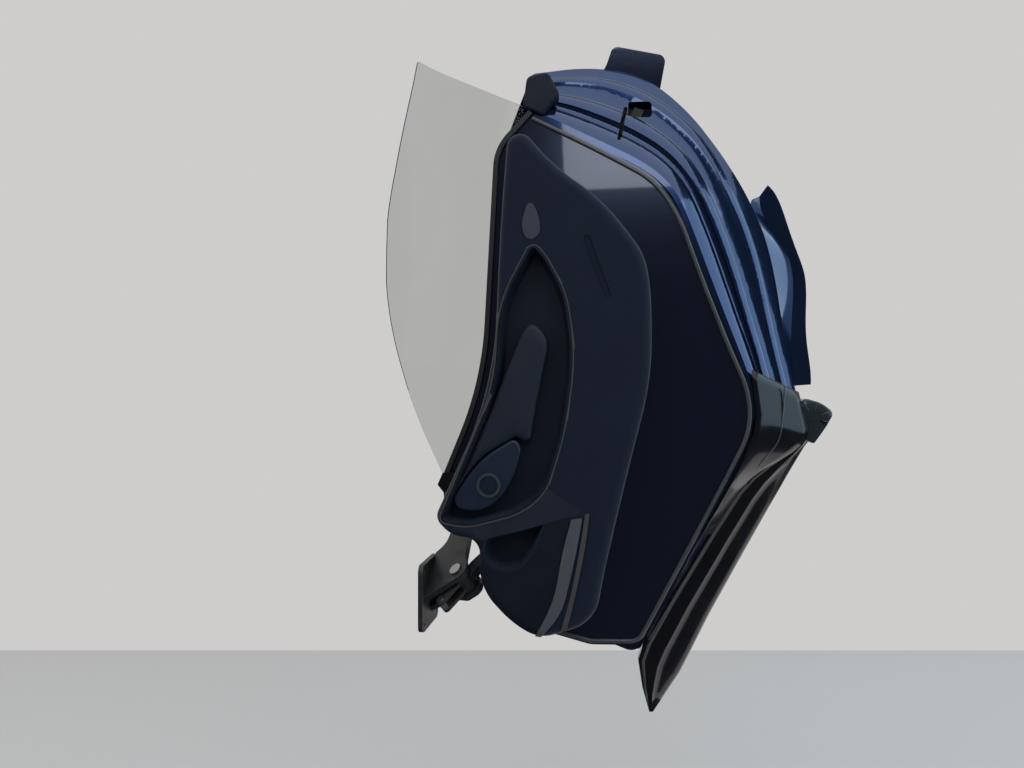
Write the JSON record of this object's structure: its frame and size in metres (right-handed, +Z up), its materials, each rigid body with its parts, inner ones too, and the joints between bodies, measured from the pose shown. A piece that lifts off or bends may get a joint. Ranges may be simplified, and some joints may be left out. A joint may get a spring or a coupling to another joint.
{
  "type": "upward-opening sports car door",
  "caption": "Raised right-hand car door with frameless glass, moulded trim card, jamb, outer skin, leaning hinge and gas strut.",
  "frame": {"origin": "centre of the bracket's bolt pattern on its mounting face", "axes": "+X to the car's right, outboard of this door; +Y to the car's front; +Z up"},
  "size_m": [0.8789, 0.3909, 1.4298],
  "materials": {
    "navy_paint": "deep navy gloss paint",
    "black_trim": "semi-gloss black moulding",
    "rubber_seal": "matt black rubber",
    "glass": "grey tinted clear glass",
    "card_suede": "fine navy-black microfibre",
    "card_dark": "matt dark moulding",
    "card_leather": "soft dark leather",
    "pad_leather": "charcoal leather",
    "pod_plastic": "satin blue-black moulding",
    "grille_grey": "satin grey",
    "brushed_strip": "fine brushed metal",
    "cast_bracket": "dark coated casting",
    "steel": "zinc-plated steel",
    "chrome_rod": "hard chrome",
    "strut_black": "black enamel"
  },
  "bodies": {
    "bracket": {"hinge_bracket": "cast_bracket", "hinge_pin": "steel", "strut_foot_stud": "steel"},
    "door": {"hinge_arm": "cast_bracket", "crank_stud": "steel", "inner_panel": "navy_paint", "rear_jamb": "navy_paint", "outer_skin": "navy_paint", "tendon": "navy_paint", "scoop_lip": "navy_paint", "sill_blade": "black_trim", "sill_end_cap": "black_trim", "door_seal": "black_trim", "belt_seal_inner": "rubber_seal", "belt_seal_outer": "rubber_seal", "corner_cover": "black_trim", "front_belt_wedge": "black_trim", "window_glass": "glass", "door_card": "card_suede", "card_bowl": "card_dark", "armrest_pad": "pad_leather", "speaker_pod": "pod_plastic", "speaker_grille": "grille_grey", "pull_bridge": "card_leather", "pocket_liner": "card_dark", "lower_card": "card_leather", "metal_strip": "brushed_strip", "edge_strip": "card_leather", "release_inset": "grille_grey", "latch_case": "black_trim", "latch_claw": "steel"},
    "cylinder": {"strut_cylinder": "strut_black"},
    "rod": {"strut_rod": "chrome_rod"}
  },
  "joints": [
    {"name": "door_hinge", "type": "hinge", "parent": "bracket", "child": "door", "pos_m": [0.09, -0.026, 0.034], "axis": [-0.4783, -0.4783, 0.7365], "range_deg": [-107, 0]},
    {"name": "strut_pivot", "type": "hinge", "parent": "bracket", "child": "cylinder", "pos_m": [0.08101, 0.19455, 0.17139], "axis": [-0.4783, -0.4783, 0.7365], "range_deg": [-1, 0.2]},
    {"name": "strut_slide", "type": "slide", "parent": "cylinder", "child": "rod", "axis": [-0.091, -0.8072, -0.5833], "range_m": [-0.106, 0.002]}
  ],
  "couplings": [
    {"joint": "strut_pivot", "follows": "door_hinge", "ratio": 0.008059},
    {"joint": "strut_slide", "follows": "door_hinge", "m_per_rad": 0.055921}
  ]
}
